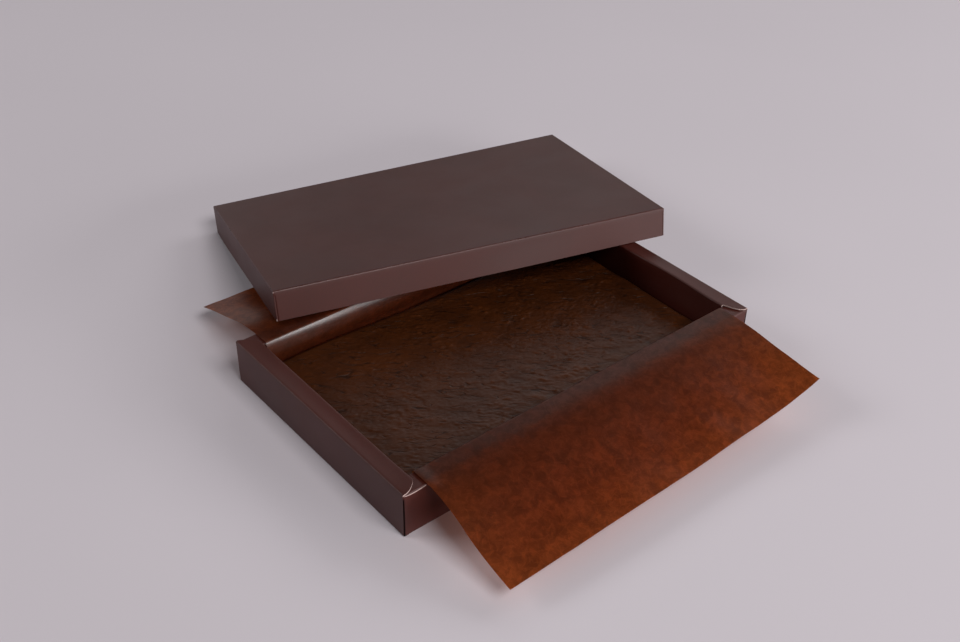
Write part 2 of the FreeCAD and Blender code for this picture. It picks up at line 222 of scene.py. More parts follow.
def grid_quads(rows, columns):
    """Numbers of a grid's points, its cells, and its border once round."""
    index = np.arange(rows * columns).reshape(rows, columns)
    cells = index[:-1, :-1], index[1:, :-1], index[1:, 1:], index[:-1, 1:]
    border = index[0, :-1], index[:-1, -1], index[-1, :0:-1], index[:0:-1, 0]
    return index, np.stack(cells, -1).reshape(-1, 4), np.concatenate(border)


def fan_quads(ring, hub):
    """Quads about the point hub that close a ring of an even number of points."""
    even, odd = ring[0::2], ring[1::2]
    return np.stack([np.full_like(even, hub), even, odd, np.roll(even, -1)], -1)


def outwards(points, quads):
    """The quads turned so that the volume they close is positive."""
    a, b, c, d = (points[quads[:, k]] for k in range(4))
    volume = (a * np.cross(b, c)).sum() + (a * np.cross(c, d)).sum()
    return quads if volume > 0 else quads[:, ::-1]


SMOOTH, EDGE, CORE = range(3)  # kinds of face: smooth, edge in the face's finish, edge of bare core
SEAM_SHADE, PLAIN, WORN, BURNISHED = -1.0, 0.0, 1.0, 2.0  # creases: painted shade of a corner's seam gap, plain, worn, and a fold rubbed smooth


def sheet_shell(face, back, bare=False, wear_gloss_and_shade=PLAIN):
    """Closed shell of a sheet: two grids (rows, columns, 3) and a strip that joins their borders.
    Where a column is bare, the strip shows the card's core at the first and last row. The last argument
    is a value for each column or point: on card from the painted shade of a seam gap to a fold rubbed
    smooth, on the liner its gloss."""
    rows, columns = face.shape[:2]
    count = rows * columns
    index, cells, border = grid_quads(rows, columns)
    after = np.roll(border, -1)
    strip = np.stack([border, after, after + count, border + count], -1)
    quads = np.concatenate([cells, cells[:, ::-1] + count, strip])
    points = np.concatenate([face.reshape(-1, 3), back.reshape(-1, 3)])
    bare, covered = np.broadcast_to(bare, columns), np.zeros(rows - 1, bool)
    shows = np.concatenate([bare[:-1], covered, bare[:0:-1], covered])
    kinds = np.concatenate([np.full(2 * len(cells), SMOOTH), np.where(shows, CORE, EDGE)])
    worn = np.tile(np.broadcast_to(wear_gloss_and_shade, (rows, columns)).ravel(), 2)
    return points, outwards(points, quads), kinds, worn


def tube_shell(rings):
    """Closed tube of bare core through rings (count, around, 3), around being even, with a fan
    about the middle of each end."""
    count, around = rings.shape[:2]
    index = np.arange(count * around).reshape(count, around)
    after = np.roll(index, -1, 1)
    wall = np.stack([index[:-1], index[1:], after[1:], after[:-1]], -1).reshape(-1, 4)
    first, last = fan_quads(index[0], index.size), fan_quads(index[-1], index.size + 1)
    points = np.concatenate([rings.reshape(-1, 3), rings[[0, -1]].mean(1)])
    quads = np.concatenate([wall, first, last[:, ::-1]])
    return points, outwards(points, quads), np.full(len(quads), CORE), np.zeros(len(points))


def block_shell(face, base, layers, bow):
    """Closed block under a grid: side walls in layers between the borders of face and base, bowed
    outwards as a half sine, and an underside that is a fan about its middle."""
    index, cells, border = grid_quads(*face.shape[:2])
    top = face.reshape(-1, 3)
    above, below = top[border], base.reshape(-1, 3)[border]
    share = np.linspace(0, 1, layers + 1)[1:, None, None]
    outward = above * [1, 1, 0] / np.linalg.norm(above[:, :2], axis=1)[:, None]
    walls = above + (below - above) * share + outward * bow * half_sine(share)
    lower = index.size + np.arange(layers * len(border)).reshape(layers, -1)
    rings = np.concatenate([border[None], lower])
    after = np.roll(rings, -1, 1)
    sides = np.stack([rings[:-1], after[:-1], after[1:], rings[1:]], -1).reshape(-1, 4)
    points = np.concatenate([top, walls.reshape(-1, 3), [below.mean(0)]])
    underside = fan_quads(rings[-1], len(points) - 1)
    quads = np.concatenate([cells, sides, underside[:, ::-1]])
    return points, outwards(points, quads), np.full(len(quads), SMOOTH), np.zeros(len(points))


def new_object(name, data):
    made = bpy.data.objects.new(name, data)
    bpy.context.scene.collection.objects.link(made)
    return made


def new_piece(name, shells, finishes, body="root"):
    """One mesh object from closed shells (points, quads, kinds, and the values of the wear, gloss and
    shade channel).
    """
    starts = np.cumsum([0] + [len(points) for points, *_ in shells])
    shells = [(points, quads + start, *rest) for (points, quads, *rest), start in zip(shells, starts)]
    points, quads, kinds, marks_and_shade = (np.concatenate(part) for part in zip(*shells))
    mesh = bpy.data.meshes.new(name)
    mesh.from_pydata(points.tolist(), [], quads.tolist())
    edge_of_corner = np.empty(len(mesh.loops), np.int32)
    mesh.loops.foreach_get("edge_index", edge_of_corner)
    sharp = np.zeros(len(mesh.edges), bool)
    sharp[edge_of_corner.reshape(-1, 4)[kinds != SMOOTH]] = True
    mesh.edges.foreach_set("use_edge_sharp", sharp)
    mesh.polygons.foreach_set("material_index", np.where(kinds == CORE, len(finishes) - 1, 0))
    mesh.polygons.foreach_set("use_smooth", kinds == SMOOTH)
    layer = mesh.attributes.new("wear_gloss_and_shade", "FLOAT", "POINT")
    layer.data.foreach_set("value", marks_and_shade.astype(np.float32))
    for finish in finishes:
        mesh.materials.append(finish)
    mesh.validate()
    piece = new_object(name, mesh)
    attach(piece, body)
    return piece


# ------------------------ folded card


def folded_line(start, heading, steps):
    """Line of folded card in a plane, its outer face on the left. Each step is (run, turn, count):
    straight on for run, or with a turn a right-hand arc of radius run. Returns points, outward
    normals, each point's step and its share of that step."""
    here, parts = np.array(start, float), []
    for step, (run, turn, count) in enumerate(steps):
        share = np.linspace(0, 1, count + 1)
        bearing = heading - turn * share
        normal = np.stack([-np.sin(bearing), np.cos(bearing)], -1)
        ahead = share[:, None] * np.array([math.cos(heading), math.sin(heading)])
        line = here + run * (normal - normal[0] if turn else ahead)
        keep = slice(None if step == len(steps) - 1 else -1)
        parts.append((line[keep], normal[keep], np.full(count + 1, step)[keep], share[keep]))
        here, heading = line[-1], heading - turn
    return tuple(np.concatenate(part) for part in zip(*parts))


SIDES = ("front", "rear", "left", "right")
NEAR_ENDS = (0.12 * MM, 0.3 * MM, 0.6 * MM, 1 * MM, 2.5 * MM, 6 * MM, 12 * MM)
LONG_ROUND, SHORT_ROUND = 0.55 * MM, 0.15 * MM  # quarter round at the ends of a side's wall
SEAM_GAP, SHORT_INSET = 0.12 * MM, 0.15 * MM  # a long side's end to the short card; a short side's


class Side:
    """One side of a card blank: how the distances along it and in from its outer face and the
    height become a place."""

    def __init__(self, half_length, half_width, name):
        self.along_x = name in ("front", "rear")
        self.inward = 1 if name in ("front", "left") else -1
        self.half, self.face = (half_length, half_width) if self.along_x else (half_width, half_length)
        self.end_round = LONG_ROUND if self.along_x else SHORT_ROUND
        self.share = stations(2 * self.half, NEAR_ENDS, 30)
        self.along = self.share[:, None] * 2 - 1

    def place(self, along, inside, up):
        across = self.inward * (inside - self.face)
        pair = (along, across) if self.along_x else (across, along)
        return np.stack([*np.broadcast_arrays(*pair, up)], -1)

    def swelling(self, line, wave, unevenness, seed):
        """One minus the fourth power of the place along the side, made uneven by waves."""
        uneven = rolling(self.along * self.half, line, wave, seed)
        return (1 - self.along**4) * (1 + unevenness * uneven)


def side_shell(side, profile, ends, board, wear_gloss_and_shade, rounded, swell, pinch=0.0, lift=0.0, bare=False):
    """Sheet of folded card along one side: the profile (line, normal) carried between two ends,
    places along the side for each point of the line. It swells along its normals, is pinched
    towards the outer face and lifted, and its rounded ends turn in by a quarter round."""
    (line, normal), (low, high) = profile, ends
    along = low + (high - low) * side.share[:, None]
    end_round = side.end_round * rounded
    past = np.clip(end_round - np.minimum(along - low, high - along), 0, None)
    turned_in = end_round - np.sqrt(np.clip(end_round**2 - past**2, 0, None))
    face = line + normal * (swell - turned_in)[..., None]
    face[..., 0] -= pinch
    back = face - normal * board
    outer = side.place(along, face[..., 0], face[..., 1] + lift)
    inner = side.place(along, back[..., 0], back[..., 1] + lift)
    return sheet_shell(outer, inner, bare, wear_gloss_and_shade)


def fold_worn(numbers, shares, folds):
    """WORN along the middle of each fold, falling to PLAIN at its ends as a half sine."""
    return np.where(np.isin(numbers, folds), half_sine(shares), PLAIN)


LOW_FOLD, WALL, TOP_FOLD, RIM, INNER_FOLD, INNER_WALL = range(1, 7)  # steps after the lip
LIP = 2 * MM  # strip of the wall that lies under the floor
FOLD_PASS = 2 * MM  # how far a long rim panel's end passes the inner corner
TIP_RUN = 14 * MM  # length over which the lifted tip of a short rim panel comes down
BOW_PLACE, BOW_SPREAD = -30 * MM, 34 * MM  # middle of a short side's bow along Y, and its spread
BOW_LOST = 0.8  # share of the bow that the inner wall has lost at its foot
SWELLS = {WALL: 1.0, RIM: -0.3, INNER_WALL: -0.4}  # swell of each panel, as a share of bulge
TRAY_WAVES, LID_WAVES = (90 * MM, 0.5), (110 * MM, 0.6)  # their length, and share of a wall's swell
# Ends of the short rim panels at each corner (side of X, side of Y): draw-back inwards and lift of
# the tip, both as shares of lap_drop, and the power that the end's curve follows.
TRAY_CORNERS = {
    (-1, -1): (0.79, 0.05, 2.2),
    (1, -1): (1.90, 0.06, 2.95),
    (-1, 1): (1.00, 0.03, 1.6),
    (1, 1): (1.05, 0.03, 1.6),
}


def tray_reach(sizes, side, corner, numbers, shares, inside):
    """How far each point of a side's line reaches towards one corner: a long side to the short
    side's card, inner walls to the hollow wall. A short side's rim panel draws back by a power
    of its share inwards."""
    inner = side.half - sizes.rim_width
    if side.along_x:
        card = side.half - sizes.board
        reach = np.where(numbers < RIM, card - SEAM_GAP, card)
        reach = np.where(numbers >= INNER_FOLD, inner, reach)
        return np.where(numbers == INNER_FOLD, reach + FOLD_PASS * (1 - shares), reach)
    drop, _, curve = TRAY_CORNERS[corner]
    whole = side.half - SHORT_INSET
    lap = side.half - np.minimum(drop * sizes.lap_drop * inside**curve, sizes.rim_width)
    reach = np.where(numbers <= WALL, whole, np.minimum(lap, whole))
    return np.where(numbers == INNER_WALL, inner, reach)


def tray_side(sizes, tray_size, name, seed):
    """One hollow side of the tray: outer wall, rim panel and inner wall, folded round. Each panel
    swells as a half sine of its share. A short side's inner fold bows outwards as a Gaussian
    along the side, and the tips of its rim panel rise as a quarter sine inwards."""
    side = Side(tray_size.x / 2, tray_size.y / 2, name)
    board, fold, rim = sizes.board, sizes.fold, sizes.rim_width
    top = tray_size.z - (board if side.along_x else 0)
    steps = [
        (LIP, 0, 2),
        (fold, math.pi / 2, 7),
        (top - 2 * fold, 0, 8),
        (fold, math.pi / 2, 7),
        (rim - 2 * fold, 0, 10),
        (fold, math.pi / 2, 7),
        (top - fold - board, 0, 8),
    ]
    line, normal, numbers, shares = folded_line((fold + LIP, 0), math.pi, steps)
    inside = np.clip(line[:, 0] / rim, 0, 1)
    corners = [(sign, -side.inward) if side.along_x else (-side.inward, sign) for sign in (-1, 1)]
    low, high = (tray_reach(sizes, side, corner, numbers, shares, inside) for corner in corners)
    panel = half_sine(shares) * sum((numbers == step) * size for step, size in SWELLS.items())
    place = line[None, :, 1] + line[None, :, 0]
    swell = sizes.bulge * panel * side.swelling(place, *TRAY_WAVES, seed)
    wear_gloss_and_shade = np.tile(fold_worn(numbers, shares, (LOW_FOLD, TOP_FOLD, INNER_FOLD)), (len(side.share), 1))
    profile, rounded = (line, normal), numbers <= WALL
    if side.along_x:
        return side_shell(side, profile, (-low, high), board, wear_gloss_and_shade, rounded, swell)
    # painted shade: the ends of a short side's outer wall are marked dark, where the seam gap at the
    # corner lies in shade
    wear_gloss_and_shade[np.ix_([0, -1], np.isin(numbers, (LOW_FOLD, WALL)))] = SEAM_SHADE
    bow = sizes.bow if name == "right" else sizes.slight_bow
    hanging = np.where(numbers == INNER_WALL, 1 - BOW_LOST * shares, inside) * (numbers >= RIM)
    pinch = bow * hanging * np.exp(-(((side.along * side.half - BOW_PLACE) / BOW_SPREAD) ** 2))
    bare = np.isin(numbers, (TOP_FOLD, RIM, INNER_FOLD))
    low_tip, high_tip = (TRAY_CORNERS[corner][1] for corner in corners)
    raised = low_tip * (1 - ease(side.half * (1 + side.along), 0, TIP_RUN))
    raised = raised + high_tip * (1 - ease(side.half * (1 - side.along), 0, TIP_RUN))
    lift = raised * sizes.lap_drop * np.sin(math.pi / 2 * inside) * bare
    return side_shell(side, profile, (-low, high), board, wear_gloss_and_shade, rounded, swell, pinch, lift, bare)


def panel_shell(low, high, up, board):
    """Flat sheet of card between two corners, its upper face at up."""
    x, y = np.linspace(low[0], high[0], 24), np.linspace(low[1], high[1], 16)
    face = np.stack(np.meshgrid(x, y, up, indexing="ij"), -1)[:, :, 0]
    return sheet_shell(face, face - [0, 0, board])


CUT_WIDTH, CUT_BELOW, CUT_OUT = 0.30 * MM, 0.35 * MM, 0.02 * MM  # strip, under the fold, off the face
AROUND = np.linspace(0, 2 * math.pi, 9)[:-1]  # angles of a tube's points


def cut_edge_shell(sizes, start, face, top):
    """Cut edge beside a corner of the front fold: a narrow strip that dips as a sine by cut_dip
    under the fold and comes back to it after cut_length."""
    share = np.linspace(0, 1, 25)[:, None]
    width = CUT_WIDTH * half_sine(share * 0.9 + 0.08) ** 0.35
    middle = top - CUT_BELOW - sizes.cut_dip * half_sine(share**0.8)
    y, z = face - CUT_OUT + 0.5 * width * np.cos(AROUND), middle + width * np.sin(AROUND)
    x = start + sizes.cut_length * share + 0 * y
    return tube_shell(np.stack([x, y, z], -1))


class PRALINE_OT_tray(bpy.types.Operator):
    """Make the tray: four hollow sides and a floor of folded card"""

    bl_idname = "praline.tray"
    bl_label = "Tray"

    def execute(self, context):
        sizes = context.scene.praline_card
        low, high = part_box("tray")
        shells = [tray_side(sizes, high - low, name, seed) for seed, name in enumerate(SIDES)]
        inset = sizes.fold + 1 * MM
        corners = (low.x + inset, low.y + inset), (high.x - inset, high.y - inset)
        shells.append(panel_shell(*corners, sizes.board, sizes.board))
        start, front_top = low.x + sizes.board, high.z - low.z - sizes.board
        shells.append(cut_edge_shell(sizes, start, low.y, front_top))
        piece = new_piece("tray_card", shells, [card_finish(sizes), core_finish(sizes)])
        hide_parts("tray")
        return {"FINISHED"}


# ------------------------ lid


class Leaning:
    """How the lid leans: turned about Z, tilted from its back foot on the ground to its front
    foot on the rim, and slightly warped."""

    def __init__(self, card, lid, tray_low, tray_high):
        grown = 2 * (lid.clearance + card.board)
        self.length = tray_high.x - tray_low.x + grown
        self.width = tray_high.y - tray_low.y + grown
        self.lid = lid
        tilt = math.asin((tray_high.z - tray_low.z + lid.seat_gap) / (self.width - card.board))
        self.turn = np.array(Matrix.Rotation(lid.yaw, 3, "Z") @ Matrix.Rotation(-tilt, 3, "X"))
        foot = np.array([-self.length / 2, -self.width / 2, 0])
        corner_x, corner_y = tray_low.x + lid.corner_along, tray_high.y - lid.corner_overlap
        self.origin = np.array([corner_x, corner_y, self.width * math.sin(tilt)]) - self.turn @ foot

    def place(self, points):
        """Points of the square lid, put where it leans and raised by its warp, products of the
        shares towards two opposite corners, and by its crown, a product of half sines."""
        right = np.clip(points[..., 0] / self.length + 0.5, 0, 1)
        back = np.clip(points[..., 1] / self.width + 0.5, 0, 1)
        placed = points @ self.turn.T + self.origin
        placed[..., 2] += self.lid.warp_back * right * back
        placed[..., 2] += self.lid.warp_front * (1 - right) * (1 - back)
        placed[..., 2] += self.lid.crown * half_sine(right) * half_sine(back)
        return placed


LID_WALL, LID_FOLD = range(2)
TAB_MARGIN, TAB_TAPER = 1 * MM, 2 * MM  # card left free beside a glue tab; how much each side draws in
TAB_GAP = 0.08 * MM  # glue tab to the wall in front of it
CHIP_IN, CHIP_RADIUS = 0.1 * MM, 0.24 * MM  # chip's axis from the corner's two faces; its girth
LOW_CHIP, HIGH_CHIP = (0.7 * MM, 0.6 * MM), (0.8 * MM, 0.5 * MM)  # from the foot or top, half height


def lid_side(card, leaning, name, seed):
    """One wall of the lid with the fold that leads to the top panel. The wall flares towards its
    foot as the share to the power 1.5."""
    side = Side(leaning.length / 2, leaning.width / 2, name)
    steps = [(leaning.lid.height - card.fold, 0, 8), (card.fold, math.pi / 2, 8)]
    line, normal, numbers, shares = folded_line((0, 0), math.pi / 2, steps)
    on_wall = numbers == LID_WALL
    seam = card.board + SEAM_GAP if side.along_x else SHORT_INSET
    reach = side.half - np.maximum(seam * on_wall, line[:, 0])
    open_foot = np.where(on_wall, 1 - shares, 0.0) ** 1.5
    swell = leaning.lid.flare * open_foot * side.swelling(line[None, :, 1], *LID_WAVES, seed)
    wear_gloss_and_shade = BURNISHED * fold_worn(numbers, shares, (LID_FOLD,))
    return side_shell(side, (line, normal), (-reach, reach), card.board, wear_gloss_and_shade, on_wall, swell)


def lid_top(card, leaning):
    """Top panel of the lid, up to the upper ends of the folds and with their stations."""
    half_x, half_y = leaning.length / 2, leaning.width / 2
    along, across = (Side(half_x, half_y, name).along for name in ("front", "left"))
    x, y = along * (half_x - card.fold), across.T * (half_y - card.fold)
    face = np.stack(np.broadcast_arrays(x, y, leaning.lid.height), -1)
    return sheet_shell(face, face - [0, 0, card.board])


def lid_tab(card, leaning, x_sign, y_sign):
    """Glue tab behind a short wall, from the corner inwards: a trapezoid of card."""
    along, up = np.meshgrid(np.linspace(0, 1, 6), np.linspace(0, 1, 6), indexing="ij")
    low = TAB_MARGIN + TAB_TAPER * along
    high = leaning.lid.height - card.board - TAB_MARGIN - TAB_TAPER * along
    x = np.full_like(up, x_sign * (leaning.length / 2 - card.board - TAB_GAP))
    y = y_sign * (leaning.width / 2 - card.board - leaning.lid.tab_length * along)
    face = np.stack([x, y, low + (high - low) * up], -1)
    return sheet_shell(face, face - [x_sign * card.board, 0, 0])


def chip_shell(x, y, z, half_height):
    """Bare spot at a corner where the coating has chipped: a small upright spindle whose girth is
    the root of one minus the square of the height."""
    up = np.linspace(-0.96, 0.96, 9)[:, None]
    girth = CHIP_RADIUS * np.sqrt(1 - up**2)
    ring = x + girth * np.cos(AROUND), y + girth * np.sin(AROUND), z + half_height * up
    return tube_shell(np.stack(np.broadcast_arrays(*ring), -1))


class PRALINE_OT_lid(bpy.types.Operator):
    """Make the lid: a top panel and four walls of folded card, leaning on the tray"""

    bl_idname = "praline.lid"
    bl_label = "Lid"

    def execute(self, context):
        card, lid = context.scene.praline_card, context.scene.praline_lid
        leaning = Leaning(card, lid, *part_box("tray"))
        shells = [lid_side(card, leaning, name, seed) for seed, name in enumerate(SIDES, 10)]
        shells.append(lid_top(card, leaning))
        for x_sign, y_sign in ((-1, -1), (-1, 1), (1, -1), (1, 1)):
            shells.append(lid_tab(card, leaning, x_sign, y_sign))
        chip_x, chip_y = CHIP_IN - leaning.length / 2, CHIP_IN - leaning.width / 2
        shells.append(chip_shell(chip_x, chip_y, LOW_CHIP[0], LOW_CHIP[1]))
        shells.append(chip_shell(chip_x, chip_y, lid.height - HIGH_CHIP[0], HIGH_CHIP[1]))
        shells = [(leaning.place(points), *rest) for points, *rest in shells]
        piece = new_piece("lid_card", shells, [card_finish(card), core_finish(card)])
        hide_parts("lid")
        return {"FINISHED"}


# ------------------------ liner


def curled(steps, start_z):
    """Line integrated from its slope. Each step (run, turn, count) gives every column's length and
    turn, cut into count equal parts: a part's slope is the sum of the turns so far, and the sums
    of the parts' cosines and sines are the distance and the height. Returns (columns, points)
    arrays of distance, height, slope and travel."""
    slope_start, parts = np.zeros(len(steps[0][0])), []
    for run, turn, count in steps:
        middle = (np.arange(count) + 0.5) / count
        length_each = np.repeat((run / count)[:, None], count, 1)
        parts.append((length_each, slope_start[:, None] + turn[:, None] * middle))
        slope_start = slope_start + turn
    lengths, slopes = (np.concatenate(part, 1) for part in zip(*parts))

    def summed(parts):
        return np.pad(np.cumsum(parts, 1), ((0, 0), (1, 0)))

    between = 0.5 * (slopes[:, 1:] + slopes[:, :-1])
    at_points = np.concatenate([slopes[:, :1], between, slopes[:, -1:]], 1)
    distance, height = summed(lengths * np.cos(slopes)), summed(lengths * np.sin(slopes))
    return distance, start_z + height, at_points, summed(lengths)


WING_STEPS = (10, 10, 40)  # parts of a wing's soft bend, of its straight part and of its curve
SHEET_ENDS = (0.3 * MM, 0.8 * MM, 1.6 * MM)
FLOOR_GAP = 0.05 * MM  # liner to the tray's floor
# Ranges over which effects ease in or out: heights, or travel past the tray's face.
FOLD_OFF, FOLD_UP, FOLD_SHINES = (9 * MM, 19 * MM), (12 * MM, 24 * MM), (14 * MM, 19 * MM)
RIM_ENDS, WING_SHINES = (-9 * MM, -1 * MM), (-1 * MM, 5 * MM)
LIFT_STARTS, LIFT_ENDS = (20 * MM, 26 * MM), (2 * MM, 14 * MM)
DRAW_STARTS, DRAW_ENDS = (16 * MM, 26 * MM), (8 * MM, 48 * MM)
EDGE_RUN, EDGE_DRAW = 10 * MM, 1.5 * MM  # width of the front half's left edge; how far it is drawn in
SOFT_FADES, GLOSS_FADES = (0.0, 0.25), (0.05, 0.34)  # such ranges as shares of the sheet's length
PUFF_LEFT, PUFF_WHOLE = 0.6, 0.32  # puff of the rear fold at the left edge; share where it is whole
PUFF_LOST, PUFF_FADES = 0.6, (0.35, 0.8)  # how much of it is lost at the right, and where
SLANT_MIDDLE = 0.475  # share of the length where the front wing's slant is nil
FRONT_BULGE = 1 * MM  # how much longer the front wing is in its middle
EVEN_CURL, LATE_CURL = 0.28, 0.72  # shares of the front wing's change of slope: even, near the right
SOFT_LEFT = 0.3  # share by which the soft bend is longer at the front left edge
WING_GLOSS = 0.35  # gloss of the rear wing, as a share of its fold's
# Swells of a wing: height, length, and the travel past the tray's face over which they grow.
LONG_SWELLS = 0.6 * MM, 75 * MM, (2 * MM, 60 * MM)
SHORT_SWELLS = 0.12 * MM, 26 * MM, (4 * MM, 30 * MM)


def front_bends(liner, share):
    """What liner_half takes for the front half, at each share of the length. The slope changes
    partly evenly and partly as a tenth power. The reach falls evenly by slant and bulges as a
    half sine, and the soft bend is longest at the left edge."""
    same = np.ones_like(share)
    curl = EVEN_CURL * share + LATE_CURL * share**10
    droop = liner.front_droop_left + (liner.front_droop_right - liner.front_droop_left) * curl
    rise = liner.front_rise_left + (liner.front_rise_right - liner.front_rise_left) * curl
    reach = liner.reach + liner.slant * (SLANT_MIDDLE - share) + FRONT_BULGE * half_sine(share)
    soft = liner.soft_middle * (1 + SOFT_LEFT - SOFT_LEFT * ease(share, *SOFT_FADES))
    return liner.lean_front * same, liner.fold * same, soft, droop, rise, reach


def rear_bends(liner, puffed):
    """The same for the rear half: even all along, but for the fold, which leans and has up to 1.6
    times its radius where it is puffed."""
    same = np.ones_like(puffed)
    lean = liner.lean_front + (liner.lean_rear - liner.lean_front) * puffed
    over = liner.fold * (1 + 0.6 * puffed)
    wing = liner.soft_middle, liner.rear_droop, liner.rear_rise, liner.reach
    return lean, over, *(value * same for value in wing)


def liner_half(card, liner, tray_size, lean, over, soft, droop, rise, reach):
    """Half of the liner's section for each column, from the middle of the floor: floor, wall,
    slow bend by lean, inner fold of radius over, rim, soft bend and wing. The soft bend starts
    soft_start before the tray's face and its two lines meet soft outside it, so its radius is the
    sum of both over the tangent of half the droop. The wing slopes by droop and its curve, reach
    long, loses rise. Returns distance, height, slope and travel of each point, and its travel
    past the face."""
    one = np.ones_like(droop)
    half = liner.thickness / 2
    wall = tray_size.y / 2 - card.rim_width - liner.wall_gap - half
    floor = card.board + FLOOR_GAP + half
    rim_top = tray_size.z - card.board + liner.rim_gap + half
    quarter = math.pi / 2 * one
    slow = liner.lean_radius
    bend_up = slow * np.sin(lean) + over * (1 - np.sin(lean))
    bend_out = slow * (1 - np.cos(lean)) + over * np.cos(lean)
    soft_radius = (liner.soft_start + soft) / np.tan(droop / 2)
    steps = [
        ((wall - liner.fold) * one, 0 * one, 12),
        (liner.fold * quarter, quarter, 6),
        (rim_top - floor - liner.fold - bend_up, 0 * one, 12),
        (slow * lean, -lean, 10),
        (over * (quarter - lean), lean - quarter, 10),
        (tray_size.y / 2 - liner.soft_start - wall - bend_out, 0 * one, 12),
        (soft_radius * droop, -droop, WING_STEPS[0]),
        (liner.root * one, 0 * one, WING_STEPS[1]),
        (reach + 2 * (liner.soft_middle - soft), rise, WING_STEPS[2]),
    ]
    distance, height, slope, travel = curled(steps, floor)
    past_face = travel - travel[:, -(sum(WING_STEPS) + 1)][:, None] - liner.soft_start
    return distance, height, slope, travel, past_face


def bulged(liner, half, puffed, share):
    """The rear half with its fold off the wall and risen off the rim where it is puffed, and the
    gloss of the fold near the left edge and, less of it, of the wing."""
    y, z, slope, travel, wing = half
    off_rim = 1 - ease(wing, *RIM_ENDS)
    stands_off = liner.bulge * puffed[:, None] * ease(z, *FOLD_OFF) * off_rim
    risen = liner.fold_lift * puffed[:, None] * ease(z, *FOLD_UP) * off_rim
    gloss = ease(z, *FOLD_SHINES) * off_rim * (1 - ease(share, *GLOSS_FADES))[:, None]
    gloss = gloss + WING_GLOSS * ease(wing, *WING_SHINES)
    return (y - stands_off, z + risen, slope, travel, wing), gloss


def waved(liner, half, x, side, seed):
    """Places and normals of one half in the tray, side by side at x. Long and short swells push
    the wing along its normals, more of them towards its edge. The front half has also lifted off
    the rim and drawn in at its left edge."""
    y, z, slope, travel, wing = half
    across = np.broadcast_to(x[:, None], y.shape)
    pushed = np.zeros_like(y)
    for (height, wave, grows), number in ((LONG_SWELLS, seed), (SHORT_SWELLS, seed + 5)):
        pushed += height * ease(wing, *grows) * rolling(across, travel, wave, number)
    normal = np.stack([0 * y, -side * np.sin(slope), np.cos(slope)], -1)
    middle = np.stack([across, side * y, z], -1) + normal * pushed[..., None]
    if side < 0:
        at_edge = 1 - ease((x - x[0])[:, None], 0, EDGE_RUN)
        lifted = ease(z, *LIFT_STARTS) * (1 - ease(wing, *LIFT_ENDS))
        drawn_in = ease(z, *DRAW_STARTS) * (1 - ease(wing, *DRAW_ENDS))
        middle[..., 2] += liner.edge_lift * at_edge * lifted
        middle[..., 0] += EDGE_DRAW * at_edge * drawn_in
    return middle, normal


def joined(front, rear):
    """Both halves as one sheet, from the front wing's edge to the rear wing's."""
    return np.concatenate([front[:, :0:-1], rear], 1)


def lay_flat(piece, flat):
    """UV map that holds each point's place on the sheet before it was folded."""
    mesh = piece.data
    corner = np.empty(len(mesh.loops), np.int32)
    mesh.loops.foreach_get("vertex_index", corner)
    layer = mesh.uv_layers.new(name="flat")
    layer.data.foreach_set("uv", flat[corner].astype(np.float32).ravel())


class PRALINE_OT_liner(bpy.types.Operator):
    """Make the liner: one glassine sheet under the pad, up the walls and out as two wings"""

    bl_idname = "praline.liner"
    bl_label = "Liner"

    def execute(self, context):
        card, liner = context.scene.praline_card, context.scene.praline_liner
        low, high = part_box("tray")
        half = (high.x - low.x) / 2 - card.rim_width - liner.end_gap
        x = half * (2 * stations(2 * half, SHEET_ENDS, 100) - 1)
        share = (x / half + 1) / 2
        growing = np.clip(PUFF_LEFT + (1 - PUFF_LEFT) * share / PUFF_WHOLE, 0, 1)
        puffed = growing * (1 - PUFF_LOST * ease(share, *PUFF_FADES))
        front = liner_half(card, liner, high - low, *front_bends(liner, share))
        rear = liner_half(card, liner, high - low, *rear_bends(liner, puffed))
        rear, gloss = bulged(liner, rear, puffed, share)
        front_middle, front_normal = waved(liner, front, x, -1, 31)
        rear_middle, rear_normal = waved(liner, rear, x, 1, 32)
        front_travel, rear_travel, past_face = front[3], rear[3], rear[4]
        middle, travel = joined(front_middle, rear_middle), joined(-front_travel, rear_travel)
        skin = joined(front_normal, rear_normal) * liner.thickness / 2
        shell = sheet_shell(middle + skin, middle - skin, wear_gloss_and_shade=joined(0 * front_travel, gloss))
        face_at = float(rear_travel[0, -1] - past_face[0, -1])
        piece = new_piece("liner_sheet", [shell], [glassine_finish(liner, face_at)])
        flat = np.stack([np.broadcast_to(x[:, None], travel.shape), travel], -1).reshape(-1, 2)
        lay_flat(piece, np.tile(flat, (2, 1)))
        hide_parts("liner")
        return {"FINISHED"}


# ------------------------ pad


def crinkles(shape, spacing, depth, run):
    """Relief of the creping: long flat swells, and wrinkles along run that fade in and out. Their
    field w is sharpened to w + 0.35 (w^2 - 1), so that crests are narrower than valleys."""
    # Length along and across in millimetres, turn from the run: one row for each seed from 1.
    rows = (10, 5, 0), (12, 12, 0), (2.9, 1.0, 0), (2.2, 1.1, 0.6), (1.3, 0.65, -0.2)
    swells, patches, wrinkles, crossing, fine = (
        grained(shape, spacing, along * MM, across * MM, run + turn, seed)
        for seed, (along, across, turn) in enumerate(rows, 1)
    )
    patches = 0.75 + 0.4 * np.tanh(patches)
    folded = wrinkles + 0.35 * (wrinkles**2 - 1) + 0.6 * crossing
    return depth * (swells + folded * patches + 0.30 * fine)


FACE_IN, BASE_IN = (0.4 * MM, 0.3 * MM), (0.8 * MM, 0.6 * MM)  # from the solid's ends and sides
PLY_LAYERS, PLY_BOW = 5, 0.5 * MM  # side walls of the pad
TORN, TORN_WAVE, TORN_SEED = 0.5 * MM, 40 * MM, 8  # unevenness of its ends
EDGE_ROUND, EDGE_CALM = (-1 * MM, 2 * MM), (-3 * MM, 6 * MM)  # rounding, calmer creping: from an edge
PAINTED_LIGHT_MEAN, PAINTED_LIGHT_SPREAD = 0.5, 0.2  # the relief as the finish gets it, for painted shade in its valleys and painted light on its crests
